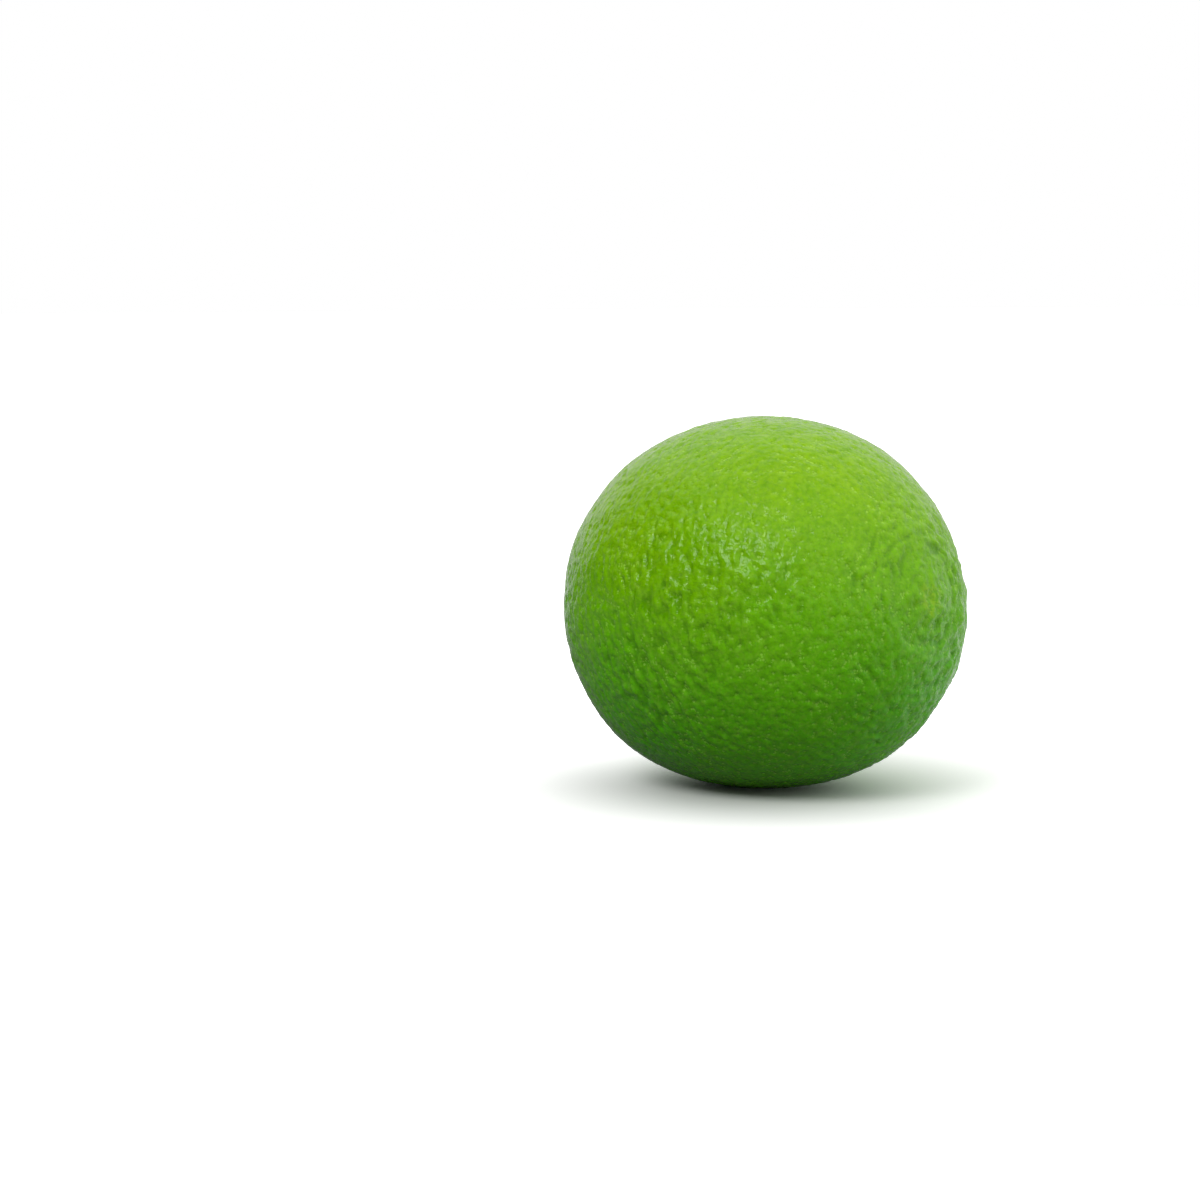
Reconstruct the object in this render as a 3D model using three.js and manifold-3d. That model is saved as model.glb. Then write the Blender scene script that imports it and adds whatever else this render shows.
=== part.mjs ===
// A whole lime, resting on its side on a small flat spot. Millimetres, +Z up.
// +X points to the blossom end and -X to the stem end. The fruit grew as one piece, so it is one solid.
import * as THREE from "three";
import { mergeVertices } from "three/addons/utils/BufferGeometryUtils.js";
import Module from "manifold-3d";

// The fruit's size and how it lies
const equatorRadius = 27;
const halfLength = 30.2;
const fullness = 2.06; // 2 is an exact spheroid, and more fills out its shoulders
const restTilt = 5.2; // degrees that the blossom end is raised by
const flatSpotDepth = 0.22; // how much of the peel is pressed flat underneath

// Uneven growth: a swelling or a hollow at an angle along the axis from the blossom end,
// and at an angle around it from +Y towards +Z. Angles and spreads are in degrees.
const swellings = [
  { along: 44, around: 23, height: -0.68, spread: 28 },
  { along: 68, around: 66, height: -0.19, spread: 28 },
  { along: 122, around: 120, height: 0.16, spread: 28 },
  { along: 125, around: -130, height: 0.43, spread: 28 },
  { along: 91, around: -95, height: -0.29, spread: 28 },
  { along: 59, around: -62, height: 0.29, spread: 28 },
];

// Both ends, as rings of relief: each has a radius on the peel, a height and a width
const blossomRings = [
  { radius: 0, height: 0.55, width: 4.2 }, // low knob
  { radius: 0, height: -0.7, width: 1.2 }, // scar in its middle
  { radius: 6.4, height: -0.22, width: 1.8 }, // faint groove round the knob
];
const blossomPuckers = { count: 7, radius: 3.1, depth: 0.3, width: 1.7, twist: 0.5 };
const stemRings = [
  { radius: 0, height: -1.3, width: 7 }, // basin that the stalk stood in
  { radius: 2.2, height: 0.65, width: 0.8 }, // rim of the stalk's scar
  { radius: 0, height: 0.4, width: 0.8 }, // stub in the scar
];
const stemFurrows = { count: 6, radius: 6.2, depth: 0.42, width: 3, twist: 0.35 };

// Skin: pits spread evenly, and wrinkles that run round the fruit
const pitSpacing = 2.2;
const pitDepth = 0.16;
const pitFreeEnds = 3.6; // the scars at both ends have none this close
const wrinkleSpacing = 4.6;
const wrinkleHeight = 0.09;
const wrinkleWander = [
  { waves: 2, reach: 1.1, start: 0.7 },
  { waves: 5, reach: 0.7, start: 2.1 },
  { waves: 9, reach: 0.4, start: 4.0 },
];
const wrinklePatch = { along: 76, around: 175, spread: 42 }; // where they stand highest

// Mesh
const meshDetail = 22; // 20 * (meshDetail + 1)^2 triangles
const crowdAtEnds = 0.42; // 0 spreads the mesh evenly, and more draws it towards both ends
const peel = { color: 0x5a9a1c, roughness: 0.38, metalness: 0 };

const blossomEnd = new THREE.Vector3(1, 0, 0);
const radians = THREE.MathUtils.degToRad;
const hump = (offset, width) => Math.exp(-((offset / width) ** 2));

function directionAt({ along, around }) {
  const reach = Math.sin(radians(along));
  return new THREE.Vector3(
    Math.cos(radians(along)),
    reach * Math.cos(radians(around)),
    reach * Math.sin(radians(around)),
  );
}

const angleBetween = (a, b) => Math.acos(THREE.MathUtils.clamp(a.dot(b), -1, 1));

// The smooth body: a full spheroid with its swellings
const swellingDirections = swellings.map(directionAt);
function bodyRadius(direction) {
  const fromAxis = Math.hypot(direction.y, direction.z);
  const sum =
    (Math.abs(direction.x) / halfLength) ** fullness + (fromAxis / equatorRadius) ** fullness;
  const swelling = swellings.reduce((total, { height, spread }, i) => {
    const angle = angleBetween(direction, swellingDirections[i]);
    return total + height * hump(angle, radians(spread));
  }, 0);
  return sum ** (-1 / fullness) + swelling;
}

const ringRelief = (rings, distance) =>
  rings.reduce((total, { radius, height, width }) => {
    return total + height * hump(distance - radius, width);
  }, 0);

// Creases that run out from an end, narrow at the bottom and broad between
function creaseRelief({ count, radius, depth, width, twist }, distance, around) {
  const across = 0.5 + 0.5 * Math.cos(count * around + twist * distance);
  return -depth * across ** 3 * hump(distance - radius, width);
}

// Wrinkles follow circles round the axis, and wander as they go
const patchDirection = directionAt(wrinklePatch);
function wrinkleRelief(direction, distance, around) {
  const wander = wrinkleWander.reduce((total, { waves, reach, start }) => {
    return total + reach * Math.sin(waves * around + start);
  }, 0);
  const patch = hump(angleBetween(direction, patchDirection), radians(wrinklePatch.spread));
  const wave = Math.sin((2 * Math.PI * distance) / wrinkleSpacing + wander);
  return wrinkleHeight * (0.35 + 0.65 * patch) * wave;
}

// The peel's height over the fruit's centre in one direction, without its pits
function peelRadius(direction) {
  const along = angleBetween(direction, blossomEnd);
  const around = Math.atan2(direction.z, direction.y);
  const fromBlossom = along * halfLength;
  const fromStem = (Math.PI - along) * halfLength;
  return (
    bodyRadius(direction) +
    ringRelief(blossomRings, fromBlossom) +
    creaseRelief(blossomPuckers, fromBlossom, around) +
    ringRelief(stemRings, fromStem) +
    creaseRelief(stemFurrows, fromStem, around) +
    wrinkleRelief(direction, fromBlossom, around)
  );
}

// Even directions all round, drawn a little closer together at the two ends
function peelDirections() {
  const ball = new THREE.IcosahedronGeometry(1, meshDetail);
  ball.deleteAttribute("normal");
  ball.deleteAttribute("uv");
  const merged = mergeVertices(ball);
  const position = merged.attributes.position;
  const directions = Array.from({ length: position.count }, (_, i) => {
    const direction = new THREE.Vector3().fromBufferAttribute(position, i).normalize();
    const along = angleBetween(direction, blossomEnd);
    const drawn = along - (crowdAtEnds / 2) * Math.sin(2 * along);
    const across = new THREE.Vector3(0, direction.y, direction.z).normalize();
    return across.multiplyScalar(Math.sin(drawn)).add(new THREE.Vector3(Math.cos(drawn), 0, 0));
  });
  return { merged, directions };
}

// One point after another becomes a pit, unless a pit or an end is already near it
function choosePits(points) {
  const pits = [];
  return points.map((point) => {
    const isPit =
      Math.hypot(point.y, point.z) > pitFreeEnds &&
      pits.every((pit) => pit.distanceTo(point) > pitSpacing);
    if (isPit) pits.push(point);
    return isPit;
  });
}

function peelGeometry() {
  const { merged, directions } = peelDirections();
  const points = directions.map((direction) =>
    direction.clone().multiplyScalar(peelRadius(direction)),
  );
  choosePits(points).forEach((isPit, i) => {
    const height = points[i].length() - (isPit ? pitDepth : 0);
    merged.attributes.position.setXYZ(i, ...points[i].setLength(height).toArray());
  });
  return merged.rotateY(radians(-restTilt));
}

const wasm = await Module();
wasm.setup();

function toSolid(geometry) {
  return new wasm.Manifold(
    new wasm.Mesh({
      numProp: 3,
      vertProperties: geometry.attributes.position.array,
      triVerts: new Uint32Array(geometry.index.array),
    }),
  );
}

function toGeometry(solid) {
  const { vertProperties, triVerts } = solid.getMesh();
  const geometry = new THREE.BufferGeometry();
  geometry.setAttribute("position", new THREE.BufferAttribute(vertProperties, 3));
  geometry.setIndex(new THREE.BufferAttribute(triVerts, 1));
  geometry.computeVertexNormals();
  return geometry;
}

// Cuts the flat spot, then stands the fruit on it with its outline centred on the origin
function restOnFlatSpot(geometry) {
  geometry.computeBoundingBox();
  const restHeight = geometry.boundingBox.min.z + flatSpotDepth;
  const under = new THREE.BoxGeometry(4 * halfLength, 4 * halfLength, halfLength);
  under.deleteAttribute("normal");
  under.deleteAttribute("uv");
  under.translate(0, 0, restHeight - halfLength / 2);
  const rested = toGeometry(toSolid(geometry).subtract(toSolid(mergeVertices(under))));
  rested.computeBoundingBox();
  const centre = rested.boundingBox.getCenter(new THREE.Vector3());
  return rested.translate(-centre.x, -centre.y, -restHeight);
}

function makeLime() {
  const geometry = restOnFlatSpot(peelGeometry());
  const lime = new THREE.Mesh(geometry, new THREE.MeshStandardMaterial(peel));
  lime.name = "lime";
  return lime;
}

const fruit = new THREE.Group();
fruit.add(makeLime());

export default fruit;
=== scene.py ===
import math
import random

import bmesh
import bpy
from mathutils import Euler, Matrix, Vector, noise
from mathutils.kdtree import KDTree


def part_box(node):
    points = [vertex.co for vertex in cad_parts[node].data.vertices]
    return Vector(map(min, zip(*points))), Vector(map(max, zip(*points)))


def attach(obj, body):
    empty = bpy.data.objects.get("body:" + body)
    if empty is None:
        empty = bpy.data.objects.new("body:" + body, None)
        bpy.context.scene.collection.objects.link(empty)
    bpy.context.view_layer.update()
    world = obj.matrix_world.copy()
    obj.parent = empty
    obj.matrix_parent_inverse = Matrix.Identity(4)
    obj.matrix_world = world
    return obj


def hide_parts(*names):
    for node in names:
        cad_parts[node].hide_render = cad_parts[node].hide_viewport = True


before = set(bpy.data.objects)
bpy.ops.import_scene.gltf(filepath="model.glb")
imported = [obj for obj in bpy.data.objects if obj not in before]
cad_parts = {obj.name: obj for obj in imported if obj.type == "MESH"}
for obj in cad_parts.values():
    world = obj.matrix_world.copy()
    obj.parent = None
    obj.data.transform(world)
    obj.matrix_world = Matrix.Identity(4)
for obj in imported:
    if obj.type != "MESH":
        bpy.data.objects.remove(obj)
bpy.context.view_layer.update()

mm = 0.001
limeLow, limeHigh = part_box("lime")


# Small helpers

def hump(offset, width):
    return math.exp(-(offset / width) ** 2)


def between(ends, share):
    return ends[0] + (ends[1] - ends[0]) * share


def fade(value, start, end):  # 0 at start, 1 at end, smooth between
    t = min(max((value - start) / (end - start), 0), 1)
    return t * t * (3 - 2 * t)


def plug(tree, socket, value):  # a value, or another node's output, goes into a socket
    if isinstance(value, bpy.types.NodeSocket):
        tree.links.new(value, socket)
    else:
        socket.default_value = value


def addNode(tree, kind, inputs=None, **settings):
    node = tree.nodes.new(kind)
    for name, value in settings.items():
        setattr(node, name, value)
    for name, value in (inputs or {}).items():
        plug(tree, node.inputs[name], value)
    return node


def maths(tree, operation, a, b=0.0, c=0.0):
    return addNode(tree, "ShaderNodeMath", {0: a, 1: b, 2: c}, operation=operation).outputs[0]


def mapRange(tree, value, fromMin, fromMax, toMin=0.0, toMax=1.0):
    node = addNode(tree, "ShaderNodeMapRange", interpolation_type="SMOOTHSTEP")
    for socket, number in enumerate((value, fromMin, fromMax, toMin, toMax)):
        plug(tree, node.inputs[socket], number)
    return node.outputs[0]


def mixColour(tree, factor, a, b, blend="MIX"):
    node = addNode(tree, "ShaderNodeMix", data_type="RGBA", blend_type=blend, clamp_factor=True)
    for socket, value in ((0, factor), (6, a), (7, b)):
        plug(tree, node.inputs[socket], value)
    return node.outputs[2]


def noiseTexture(tree, position, size, detail, roughness=0.5):  # size in mm
    inputs = {"Vector": position, "Scale": 1 / (size * mm), "Detail": detail, "Roughness": roughness}
    return addNode(tree, "ShaderNodeTexNoise", inputs).outputs["Fac"]


def blotches(tree, position, look, low=0.0, high=1.0):  # noise, with some of its range spread out
    size, detail, roughness, start, end = look
    return mapRange(tree, noiseTexture(tree, position, size, detail, roughness), start, end, low, high)


def attribute(tree, name, output="Fac"):
    return addNode(tree, "ShaderNodeAttribute", attribute_name=name).outputs[output]


# The fruit's form, in millimetres and degrees. Its axis is X, with the blossom end at +X.
# A place on the peel is an angle along the axis from the blossom end, and an angle around it
# from +Y towards +Z.

limeForm = {
    "halfLength": 30.2,
    "equatorRadius": 27.0,
    "fullness": 2.06,  # 2 is an exact spheroid
    "restTilt": 5.2,  # the blossom end is raised by this
    "flatSpot": 0.22,  # depth of peel pressed flat underneath
    "cellsPerSide": 128,  # of the cube that the fruit is rounded from
    "swellings": (  # along, around, height, spread
        (44, 23, -0.68, 28),
        (68, 66, -0.19, 28),
        (122, 120, 0.16, 28),
        (125, -130, 0.43, 28),
        (91, -95, -0.29, 28),
        (59, -62, 0.29, 28),
    ),
    "undulations": ((9.0, 0.16), (4.4, 0.07)),  # size, height
    "knobs": ((30.7, -0.7, 0.24, 1.1), (31.7, -17.1, 0.2, 1.0)),  # along, around, height, width
}

blossomEnd = {
    "rings": (  # radius, height, width
        (0, 0.55, 4.2),  # low knob
        (0, -0.45, 1.2),  # scar in its middle
        (6.2, -0.26, 1.6),  # faint groove round the knob
        (8.6, 0.08, 1.4),
    ),
    "puckers": {"count": 7, "radius": 3.1, "depth": 0.3, "width": 1.7, "twist": 0.5},
    "scarRadius": 2.1,
    "scarCover": (0.08, 0.9),  # between its flecks and in them
    "lobeSize": 0.95,
    "lobeHeight": 0.4,
}

stemEnd = {
    "rings": (
        (0, -1.3, 7),  # basin that the stalk stood in
        (2.2, 0.5, 0.55),  # rim of the stalk's scar
        (0, 0.4, 0.8),  # stub in the scar
    ),
    "puckers": {"count": 6, "radius": 6.2, "depth": 0.42, "width": 3, "twist": 0.35},
    "scarRadius": 2.5,
    "scarCover": (0.7, 0.95),
    "lobeSize": 0.7,
    "lobeHeight": 0.2,
}

scarLobes = {  # the rough tissue in both scars
    "edge": (0.7, 1.3),  # it fades out between these shares of the scar's radius
    "level": 0.35,  # the cracks between the lobes are lower than the peel by this share
}

wrinkles = {
    "spacing": 0.8,  # size across them, about half of the way from one to the next
    "reach": 2.1,  # size along them
    "height": 0.45,
    "fine": (0.45, 2.3),  # share of finer ones over them, and how many times finer
    "everywhere": 0.2,  # share of the height off the patches
    "uneven": (7, 0.8, 0.6),  # how often their height changes over the fruit, its middle and its swing
    "wander": (0.5, 6.0),  # how far they stray sideways, over what length
    "patches": (  # along, around, spread, share
        (74, 172, 26, 1.0),
        (55, 172, 13, 0.7),
        (92, -160, 22, 0.8),
        (36, -82, 20, 0.7),
        (110, 60, 30, 0.6),
        (120, -40, 34, 0.7),
    ),
    "roundBlossom": (0.75, 9.0, 6.0),  # share, radius and width of the folds that ring the blossom end
    "seed": Vector((3.7, 1.2, 8.4)),  # where in the noise they are read
}

glands = {
    "spacing": (0.74, 1.12),  # each keeps a clear space of its own, in this range
    "scatter": 0.27,  # how far at most each is moved off its vertex, so that they stand in no rows
    "pitDepth": (0.04, 0.27),  # of the faintest and the boldest
    "pitWidth": (0.3, 0.5),
    "overlapping": 3,  # pits that share in one spot's depth
    "offEnds": (1.5, 4),  # pits start at one distance from both ends and are full at the other
    "seed": 11,
}

creases = {
    "width": 0.28,
    "farthest": 1.5,  # peel further off than this stays as it is
    "taper": (0.1, 0.9),  # the part of an arch that the depth follows from end to end
    "lines": (  # from along, around, to along, around, depth
        (54.5, 151, 51.8, 162, 0.14),
        (76.5, 109.6, 60.8, 108.6, 0.1),
        (4, -43, 13, -43, 0.16),
        (9, 150, 20, 128, 0.14),
        (8, 20, 26, -12, 0.12),
    ),
}


def directionAt(along, around):
    along, around = math.radians(along), math.radians(around)
    reach = math.sin(along)
    return Vector((math.cos(along), reach * math.cos(around), reach * math.sin(around)))


def onPeel(along, around):
    direction = directionAt(along, around)
    return direction * bodyRadius(direction)


swellings = [(directionAt(along, around), height, math.radians(spread))
             for along, around, height, spread in limeForm["swellings"]]


def bodyRadius(direction):
    n = limeForm["fullness"]
    fromAxis = math.hypot(direction.y, direction.z) / limeForm["equatorRadius"]
    radius = ((abs(direction.x) / limeForm["halfLength"]) ** n + fromAxis ** n) ** (-1 / n)
    for centre, height, spread in swellings:
        radius += height * hump(direction.angle(centre), spread)
    return radius


def endRelief(end, distance, around, spot):
    height = sum(h * hump(distance - radius, width) for radius, h, width in end["rings"])
    puckers = end["puckers"]
    across = 0.5 + 0.5 * math.cos(puckers["count"] * around + puckers["twist"] * distance)
    height -= puckers["depth"] * across ** 3 * hump(distance - puckers["radius"], puckers["width"])
    inner, outer = scarLobes["edge"]
    inScar = 1 - fade(distance, inner * end["scarRadius"], outer * end["scarRadius"])
    if inScar > 0:
        nearest = noise.voronoi(spot / end["lobeSize"])[0]
        height += end["lobeHeight"] * inScar * (nearest[1] - nearest[0] - scarLobes["level"])
    return height


patches = [(directionAt(along, around), math.radians(spread), share)
           for along, around, spread, share in wrinkles["patches"]]


def wrinkleStrength(direction, fromBlossom):
    share, radius, width = wrinkles["roundBlossom"]
    strength = wrinkles["everywhere"] + share * hump(fromBlossom - radius, width)
    for centre, spread, share in patches:
        strength += share * hump(direction.angle(centre), spread)
    times, middle, swing = wrinkles["uneven"]
    return min(strength, 1) * (middle + swing * noise.noise(direction * times))


def wrinkleRelief(spot, direction, fromBlossom):
    stray, length = wrinkles["wander"]
    lane = fromBlossom / wrinkles["spacing"] + stray * noise.noise(spot / length + wrinkles["seed"])
    reach = wrinkles["reach"]
    where = Vector((lane, spot.y / reach, spot.z / reach)) + wrinkles["seed"]
    share, times = wrinkles["fine"]
    folds = noise.noise(where) + share * noise.noise(where * times)
    return wrinkles["height"] * wrinkleStrength(direction, fromBlossom) * folds


def creaseRelief(spot):
    depth = 0
    for start, along, length, deepest in creaseLines:
        reach = min(max((spot - start).dot(along), 0), length)
        distance = (spot - start - along * reach).length
        if distance < creases["farthest"]:
            taper = math.sin(math.pi * between(creases["taper"], reach / length))
            depth -= deepest * taper * hump(distance, creases["width"])
    return depth


def creaseLine(along1, around1, along2, around2, deepest):
    start, end = onPeel(along1, around1), onPeel(along2, around2)
    return start, (end - start).normalized(), (end - start).length, deepest


creaseLines = [creaseLine(*line) for line in creases["lines"]]
knobs = [(onPeel(along, around), height, width)
         for along, around, height, width in limeForm["knobs"]]


def roundedCube(cells):
    bm = bmesh.new()
    bmesh.ops.create_cube(bm, size=2)
    bmesh.ops.subdivide_edges(bm, edges=bm.edges[:], cuts=cells - 1, use_grid_fill=True)
    for vert in bm.verts:  # tan spreads the cells evenly once they are pushed out
        vert.co = Vector([math.tan(math.pi / 4 * c) for c in vert.co]).normalized()
    return bm


def growPeel(bm):
    reliefs, fromEnds = [], []
    for vert in bm.verts:
        direction = vert.co.copy()
        body = bodyRadius(direction)
        spot = direction * body
        along = math.acos(min(max(direction.x, -1), 1))
        around = math.atan2(direction.z, direction.y)
        fromBlossom = along * limeForm["halfLength"]
        fromStem = (math.pi - along) * limeForm["halfLength"]
        height = wrinkleRelief(spot, direction, fromBlossom) + creaseRelief(spot)
        reliefs.append(height)
        height += endRelief(blossomEnd, fromBlossom, around, spot)
        height += endRelief(stemEnd, fromStem, around, spot)
        for size, swell in limeForm["undulations"]:
            height += swell * noise.noise(spot / size + Vector((size, 0, 0)))
        for centre, swell, width in knobs:
            height += swell * hump((spot - centre).length, width)
        vert.co = direction * (body + height)
        fromEnds.append((fromBlossom, fromStem))
    return reliefs, fromEnds


def scatterGlands(bm):  # vertices in random order, each with a gland unless another is too near
    random.seed(glands["seed"])
    noise.seed_set(glands["seed"])
    verts = KDTree(len(bm.verts))
    for vert in bm.verts:
        verts.insert(vert.co, vert.index)
    verts.balance()
    shuffled = bm.verts[:]
    random.shuffle(shuffled)
    found, taken = [], set()
    for vert in shuffled:
        if vert.index not in taken:
            aside = vert.co.cross(noise.random_unit_vector()).normalized() * glands["scatter"]
            found.append((vert.co + aside * random.random(), random.random()))
            clear = random.uniform(*glands["spacing"])
            taken.update(index for _, index, _ in verts.find_range(vert.co, clear))
    return found


def pitRelief(distance, tone):  # bold glands have deep and wide pits
    boldness = tone ** 2
    depth = between(glands["pitDepth"], boldness)
    return depth * hump(distance, between(glands["pitWidth"], boldness))


def sinkGlands(bm, found, fromEnds):
    start, full = glands["offEnds"]
    tree = KDTree(len(found))
    for i, (place, _) in enumerate(found):
        tree.insert(place, i)
    tree.balance()
    offsets, distances, tones = [], [], []
    for vert, ends in zip(bm.verts, fromEnds):
        near = tree.find_n(vert.co, glands["overlapping"])
        place, nearest, distance = near[0]
        offsets.append(place - vert.co)
        distances.append(distance)
        tones.append(found[nearest][1])
        pit = sum(pitRelief(away, found[i][1]) for _, i, away in near)
        offEnds = fade(ends[0], start, full) * fade(ends[1], start, full)
        vert.co -= vert.co.normalized() * pit * offEnds
    return offsets, distances, tones


def layDown(bm):  # tilts the fruit, presses its underside flat and sets it in the frame
    turn = Matrix.Rotation(math.radians(-limeForm["restTilt"]), 3, "Y")
    bmesh.ops.rotate(bm, verts=bm.verts, cent=(0, 0, 0), matrix=turn)
    floorHeight = min(vert.co.z for vert in bm.verts) + limeForm["flatSpot"]
    for vert in bm.verts:
        vert.co.z = max(vert.co.z, floorHeight)
    bmesh.ops.scale(bm, verts=bm.verts, vec=(mm, mm, mm))
    low = Vector([min(vert.co[i] for vert in bm.verts) for i in range(3)])
    high = Vector([max(vert.co[i] for vert in bm.verts) for i in range(3)])
    middle = (limeLow + limeHigh) / 2 - (low + high) / 2
    shift = Vector((middle.x, middle.y, limeLow.z - low.z))
    bmesh.ops.translate(bm, verts=bm.verts, vec=shift)
    return shift


def storeAttribute(mesh, name, kind, values):
    field = "vector" if kind == "FLOAT_VECTOR" else "value"
    flat = [part for value in values for part in value] if kind == "FLOAT_VECTOR" else values
    mesh.attributes.new(name, kind, "POINT").data.foreach_set(field, flat)


def makeLime():
    bm = roundedCube(limeForm["cellsPerSide"])
    bm.verts.index_update()
    reliefs, fromEnds = growPeel(bm)
    found = scatterGlands(bm)
    offsets, distances, tones = sinkGlands(bm, found, fromEnds)
    fruitCentre = layDown(bm)
    mesh = bpy.data.meshes.new("limePeel")
    bm.to_mesh(mesh)
    bm.free()
    storeAttribute(mesh, "glandOffset", "FLOAT_VECTOR", offsets)
    storeAttribute(mesh, "glandDistance", "FLOAT", distances)
    storeAttribute(mesh, "glandTone", "FLOAT", tones)
    storeAttribute(mesh, "wrinkleHeight", "FLOAT", reliefs)
    storeAttribute(mesh, "fromBlossom", "FLOAT", [ends[0] for ends in fromEnds])
    storeAttribute(mesh, "fromStem", "FLOAT", [ends[1] for ends in fromEnds])
    mesh.shade_smooth()
    lime = bpy.data.objects.new("limePeel", mesh)
    bpy.context.scene.collection.objects.link(lime)
    print("lime:", len(mesh.polygons), "faces,", len(found), "glands")
    return lime, fruitCentre


# The peel's material

peelLook = {
    "green": (0.085, 0.56, 0.001, 1),  # underneath, the peel's green below the painted top light
    "yellowGreen": (0.33, 0.63, 0.002, 1),  # on top: partly the fruit's own yellowing, partly painted top light
    "yellowing": (6, 50, 0.14, 0.85),  # painted top light, yellower higher up: from and to a height in mm; then share of the real yellowing patches, share in all
    "deepGreen": (0.11, 0.37, 0.001, 1),
    "mottleShares": (0.22, 0.42),  # of the deep green, in both mottles
    # painted sheen: pale blotches that stand in for islands of reflected light
    "paintedSheen": (0.5, 0.8, 0.1, 1),
    "paintedSheenShare": 0.12,
    "groove": (0.7, 0.76, 0.3, 1),  # painted shade: what grooves and pits are multiplied by
    "grooveDepth": (-0.2, 0.8),  # height in mm that has the largest share of the painted shade, and that share
    "pit": (0.42, 0.12, 0.2),  # radius of its rim and of its floor in mm, and share of the painted groove shade that a pit gets
    "dotAndGlint": (0.16, 0.21, 0.055, 1),  # added to the peel's colour at each gland: partly the gland's own paler tone, partly a painted glint
    "speckRadius": (0.24, 0.12),  # it starts at one radius and is full at the other, in mm
    "speckTones": (0.1, 0.75, 0.1, 0.9),  # from one tone to another, glands are this faint to this bright
    "speckCrowds": (0.3, 1.1),  # brightness outside the crowds and in them
    "cell": (0.5, 0.38),  # the way to a gland, kept on the mesh, is true only this near to one, in mm
    "blossomScar": (0.32, 0.64, 0.012, 1),
    "stemScar": (0.3, 0.27, 0.09, 1),
    "scarEdge": (3.0, 2.2, 1.0),  # raggedness, and how far outside the scar it starts and is full, in mm
    "pore": (0.36, 0.12, 0.025),  # radius of its rim and of its floor, and its depth, in mm
    "poreTones": (0.4, 1.3),  # share of that depth in the faintest and the boldest
    "bumps": ((0.9, 0.09), (0.45, 0.05)),  # pebbles, then grain: size and height in mm
    "roughness": (0.09, 0.14),
}

peelNoise = {  # size in mm, detail, roughness, and the values that blotches start and are full at
    "yellowing": (22, 2, 0.5, 0.35, 0.65),
    "mottles": ((3.4, 3, 0.6, 0.35, 0.7), (0.8, 3, 0.6, 0.35, 0.7)),
    # blotches of the painted sheen
    "paintedSheen": (0.75, 1, 0.5, 0.42, 0.72),
    "speckCrowds": (8, 1, 0.5, 0.35, 0.6),
    "scarFlecks": (0.9, 2, 0.5, 0.42, 0.6),
    "scarEdge": (1.2, 3),  # size and detail alone
    "gloss": (3.5, 3, 0.5, 0.3, 0.7),
    "bumpDetail": 2,
}

peelShader = {
    "IOR": 1.31,
    "Subsurface Weight": 0.15,
    "Subsurface Radius": (0.7, 1.0, 0.25),
    "Subsurface Scale": 0.8 * mm,
}


def peelColour(tree, position):
    low, high, patchShare, most = peelLook["yellowing"]
    patchy = blotches(tree, position, peelNoise["yellowing"])
    height = addNode(tree, "ShaderNodeSeparateXYZ", {0: position}).outputs["Z"]
    # painted top light: the peel turns yellower with height, standing in for light from above; the patches
    # are the fruit's own yellowing
    paintedTopLight = mapRange(tree, height, low * mm, high * mm)
    ripeAndTopLit = maths(tree, "MULTIPLY", maths(tree, "MULTIPLY_ADD", patchy, patchShare, paintedTopLight), most)
    colour = mixColour(tree, ripeAndTopLit, peelLook["green"], peelLook["yellowGreen"])
    for look, share in zip(peelNoise["mottles"], peelLook["mottleShares"]):
        mottle = blotches(tree, position, look, 0.0, share)
        colour = mixColour(tree, mottle, colour, peelLook["deepGreen"])
    # painted sheen: pale blotches mixed in where reflected light would break up
    paintedSheenSpots = blotches(tree, position, peelNoise["paintedSheen"], 0.0, peelLook["paintedSheenShare"])
    return mixColour(tree, paintedSheenSpots, colour, peelLook["paintedSheen"])


def paintShadeAndGlandDots(tree, position, colour, offset, inCell, tone):  # paints shade into the grooves and pits, adds the dots, which are partly painted glints
    depth, most = peelLook["grooveDepth"]
    # painted shade, darkest in the deepest grooves and in the pits
    groove = mapRange(tree, attribute(tree, "wrinkleHeight"), 0.0, depth, 0.0, most)
    rim, bottom, share = peelLook["pit"]
    pit = maths(tree, "MULTIPLY", mapRange(tree, offset, rim, bottom), inCell)
    paintedShade = maths(tree, "MAXIMUM", groove, maths(tree, "MULTIPLY", pit, share))
    colour = mixColour(tree, paintedShade, colour, peelLook["groove"], "MULTIPLY")
    # the dots: partly the glands' own paler tone, partly painted glints off the pits' floors
    dotAndGlint = maths(tree, "MULTIPLY", mapRange(tree, offset, *peelLook["speckRadius"]), inCell)
    crowd = blotches(tree, position, peelNoise["speckCrowds"], *peelLook["speckCrowds"])
    dotAndGlintBrightness = maths(tree, "MULTIPLY", mapRange(tree, tone, *peelLook["speckTones"]), crowd)
    return mixColour(tree, maths(tree, "MULTIPLY", dotAndGlint, dotAndGlintBrightness), colour, peelLook["dotAndGlint"], "ADD")


def paintScars(tree, position, colour):
    raggedness, start, full = peelLook["scarEdge"]
    ragged = noiseTexture(tree, position, *peelNoise["scarEdge"])
    for name, end, tint in (("fromBlossom", blossomEnd, "blossomScar"), ("fromStem", stemEnd, "stemScar")):
        reach = maths(tree, "MULTIPLY_ADD", ragged, raggedness, attribute(tree, name))
        scar = mapRange(tree, reach, end["scarRadius"] + start, end["scarRadius"] + full)
        flecks = blotches(tree, position, peelNoise["scarFlecks"], *end["scarCover"])
        colour = mixColour(tree, maths(tree, "MULTIPLY", scar, flecks), colour, peelLook[tint])
    return colour


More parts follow.
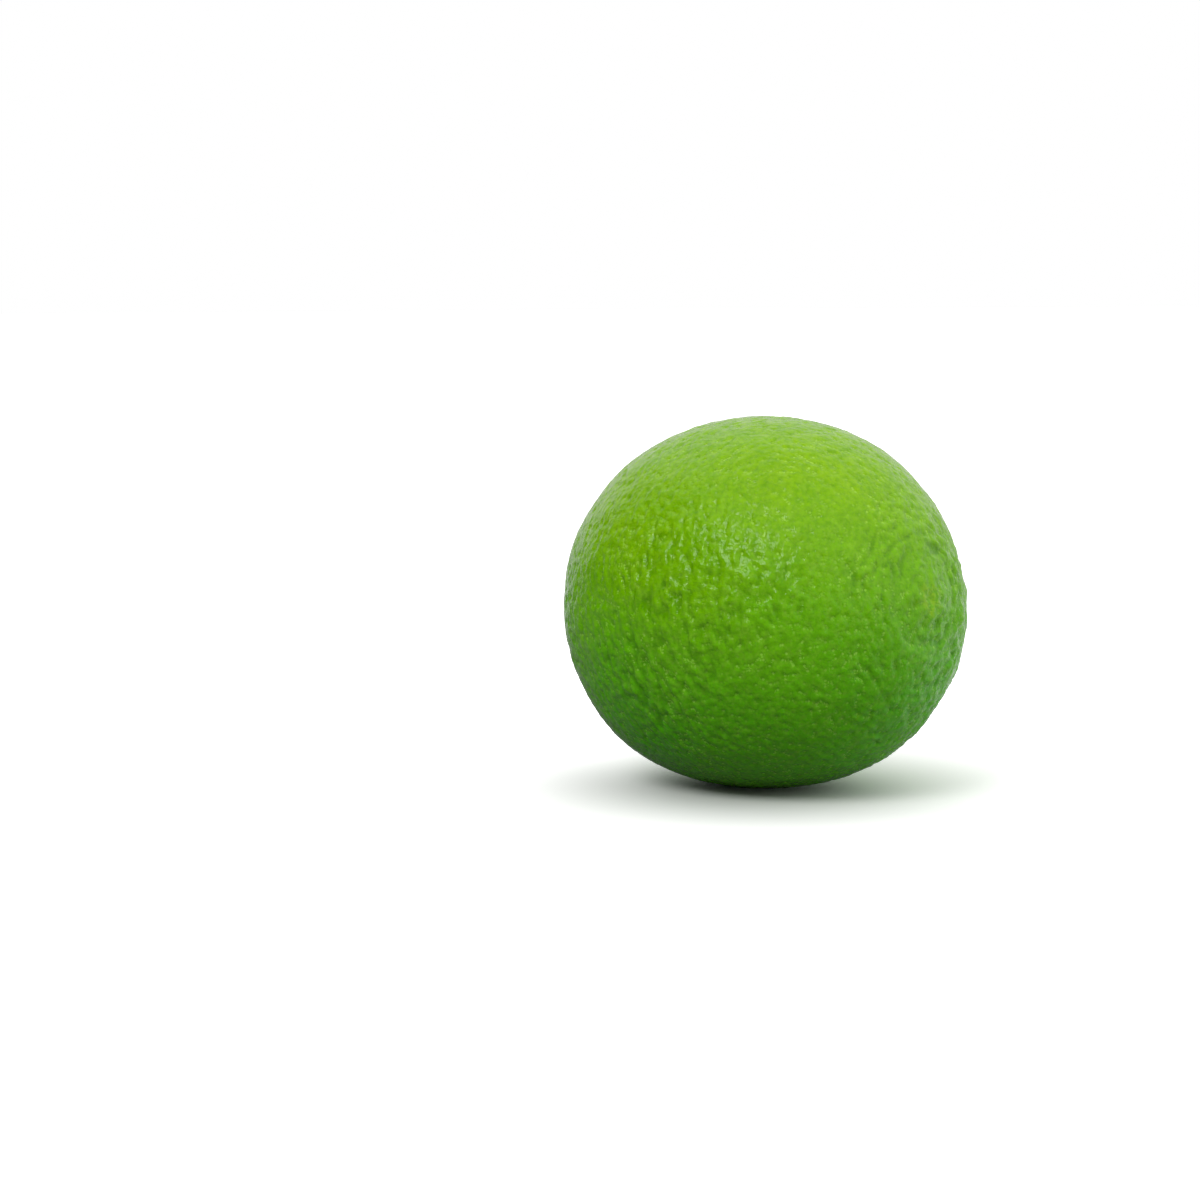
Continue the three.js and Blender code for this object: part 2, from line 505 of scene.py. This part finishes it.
def peelBump(tree, position, offset, inCell, tone):
    rim, bottom, depth = peelLook["pore"]
    sunk = maths(tree, "MULTIPLY", mapRange(tree, offset, rim, bottom, 0, -depth), inCell)
    relief = maths(tree, "MULTIPLY", sunk, mapRange(tree, tone, 0.0, 1.0, *peelLook["poreTones"]))
    for size, height in peelLook["bumps"]:
        bumps = noiseTexture(tree, position, size, peelNoise["bumpDetail"])
        relief = maths(tree, "MULTIPLY_ADD", bumps, height, relief)
    return addNode(tree, "ShaderNodeBump", {"Height": relief, "Distance": mm, "Strength": 1.0}).outputs[0]


def peelMaterial():
    material = bpy.data.materials.new("limePeel")
    material.use_nodes = True
    tree = material.node_tree
    shader = tree.nodes["Principled BSDF"]
    position = addNode(tree, "ShaderNodeTexCoord").outputs["Object"]
    offset = addNode(tree, "ShaderNodeVectorMath", {0: attribute(tree, "glandOffset", "Vector")},
                     operation="LENGTH").outputs["Value"]
    inCell = mapRange(tree, attribute(tree, "glandDistance"), *peelLook["cell"])
    tone = attribute(tree, "glandTone")
    colour = peelColour(tree, position)
    colour = paintShadeAndGlandDots(tree, position, colour, offset, inCell, tone)
    colour = paintScars(tree, position, colour)
    gloss = blotches(tree, position, peelNoise["gloss"], *peelLook["roughness"])
    plug(tree, shader.inputs["Base Color"], colour)
    plug(tree, shader.inputs["Roughness"], gloss)
    plug(tree, shader.inputs["Normal"], peelBump(tree, position, offset, inCell, tone))
    for name, value in peelShader.items():
        plug(tree, shader.inputs[name], value)
    return material


# The studio

photoView = {
    "turn": 40.8,  # degrees round the fruit from straight in front of its side
    "elevation": 6.0,
    "distance": 0.410,  # m
    "lens": 85,
    "clipStart": 0.01,
    "limeAt": (764, 603),  # pixel that the fruit's centre shows at
    "frame": 1200,  # pixels across and down
}

studio = {
    "floorSize": 60,
    "floorSeen": 0.97,  # how pale the floor looks
    "floorGlow": (0.006, 0.07, 0.95),  # it whitens with distance from the fruit: from, to, strength
    "floorCast": (0.25, 1.0),  # least and most that it throws back at the fruit
    "castAcross": (40, -0.02, 0.09),  # angle from the camera's right, from least, to most in m
    "tent": 0.82,  # how bright the white all round is, as a light
    # The light dims between two cosines of the angle off each side, to the share given last
    "cameraSide": (0.7, 0.95, 0.25),
    "darkSide": (-83, 0.42, 0.82, 0.02),  # angle from the camera's side first
    "overhead": (0.9, 0.98, 0.6),
    "boxes": {  # angle from the camera's side, lower edge's height, distance, width, height, radiance
        "rightBox": (28, 0.0, 1.1, 1.3, 0.8, 0.12),
        "leftBox": (-31, 0.56, 1.0, 0.6, 0.66, 6.5),
    },
}


def makeCamera(target):
    camera = bpy.data.objects.new("camera", bpy.data.cameras.new("camera"))
    bpy.context.scene.collection.objects.link(camera)
    camera.data.lens = photoView["lens"]
    camera.data.clip_start = photoView["clipStart"]
    turn, lift = math.radians(photoView["turn"]), math.radians(photoView["elevation"])
    back = Vector((math.sin(turn) * math.cos(lift), -math.cos(turn) * math.cos(lift), math.sin(lift)))
    camera.location = target + back * photoView["distance"]
    focal = photoView["lens"] / camera.data.sensor_width * photoView["frame"]  # in pixels
    middle = photoView["frame"] / 2
    yaw = math.atan((photoView["limeAt"][0] - middle) / focal)
    pitch = -math.atan((middle - photoView["limeAt"][1]) / focal)
    facing = (-back).to_track_quat("-Z", "Y").to_matrix()
    aside = Euler((pitch, yaw, 0)).to_matrix()
    camera.rotation_euler = (facing @ aside).to_euler()
    bpy.context.scene.camera = camera


def sideways(angle):  # a level direction, turned from the camera's right by an angle
    turn = math.radians(photoView["turn"] + angle)
    return Vector((math.cos(turn), math.sin(turn), 0))


def alongside(tree, position, direction):
    return addNode(tree, "ShaderNodeVectorMath", {0: position, 1: direction},
                   operation="DOT_PRODUCT").outputs["Value"]


def makeFloor():
    bm = bmesh.new()
    bmesh.ops.create_grid(bm, x_segments=1, y_segments=1, size=studio["floorSize"] / 2)
    mesh = bpy.data.meshes.new("floor")
    bm.to_mesh(mesh)
    bm.free()
    material = bpy.data.materials.new("floor")
    material.use_nodes = True
    tree = material.node_tree
    tree.nodes.clear()
    position = addNode(tree, "ShaderNodeTexCoord").outputs["Object"]
    angle, start, end = studio["castAcross"]
    cast = mapRange(tree, alongside(tree, position, sideways(angle)), start, end, *studio["floorCast"])
    toCamera = addNode(tree, "ShaderNodeLightPath").outputs["Is Camera Ray"]
    colour = mixColour(tree, toCamera, cast, (studio["floorSeen"],) * 3 + (1,))
    cover = addNode(tree, "ShaderNodeBsdfDiffuse", {"Color": colour})
    away = addNode(tree, "ShaderNodeVectorMath", {0: position}, operation="LENGTH").outputs["Value"]
    start, end, strength = studio["floorGlow"]
    whitening = maths(tree, "MULTIPLY", mapRange(tree, away, start, end, 0, strength), toCamera)
    glow = addNode(tree, "ShaderNodeEmission", {"Strength": whitening})
    surface = addNode(tree, "ShaderNodeAddShader", {0: cover.outputs[0], 1: glow.outputs[0]})
    addNode(tree, "ShaderNodeOutputMaterial", {"Surface": surface.outputs[0]})
    mesh.materials.append(material)
    floor = bpy.data.objects.new("floor", mesh)
    bpy.context.scene.collection.objects.link(floor)


def makeLights():  # upright softboxes round the fruit
    for name, (angle, low, distance, width, height, radiance) in studio["boxes"].items():
        data = bpy.data.lights.new(name, "AREA")
        data.shape = "RECTANGLE"
        data.size, data.size_y = width, height
        data.energy = radiance * math.pi * width * height
        light = bpy.data.objects.new(name, data)
        towards = sideways(angle - 90)
        light.location = towards * distance + Vector((0, 0, low + height / 2))
        light.rotation_euler = (-towards).to_track_quat("-Z", "Y").to_euler()
        light.visible_camera = False
        bpy.context.scene.collection.objects.link(light)


def makeWorld():  # plain white to the camera, and as a light dimmer to the left, overhead and in front
    world = bpy.data.worlds.new("studio")
    bpy.context.scene.world = world
    world.use_nodes = True
    tree = world.node_tree
    tree.nodes.clear()
    toCamera = addNode(tree, "ShaderNodeLightPath").outputs["Is Camera Ray"]
    direction = addNode(tree, "ShaderNodeTexCoord").outputs["Generated"]
    angle, start, end, left = studio["darkSide"]
    aside = mapRange(tree, alongside(tree, direction, sideways(angle - 90)), start, end, 1, left)
    light = maths(tree, "MULTIPLY", aside, studio["tent"])
    for name, towards in (("overhead", (0, 0, 1)), ("cameraSide", sideways(-90))):
        start, end, left = studio[name]
        dimmed = mapRange(tree, alongside(tree, direction, towards), start, end, 1, left)
        light = maths(tree, "MULTIPLY", light, dimmed)
    strength = maths(tree, "MAXIMUM", toCamera, light)
    tent = addNode(tree, "ShaderNodeBackground", {"Color": (1, 1, 1, 1), "Strength": strength})
    addNode(tree, "ShaderNodeOutputWorld", {"Surface": tent.outputs[0]})


lime, fruitCentre = makeLime()
lime.data.materials.append(peelMaterial())
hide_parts("lime")
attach(lime, "root")
print("peel: material on")

makeCamera(fruitCentre)
makeFloor()
makeLights()
makeWorld()
bpy.context.scene.view_settings.view_transform = "Standard"
print("studio: ready")
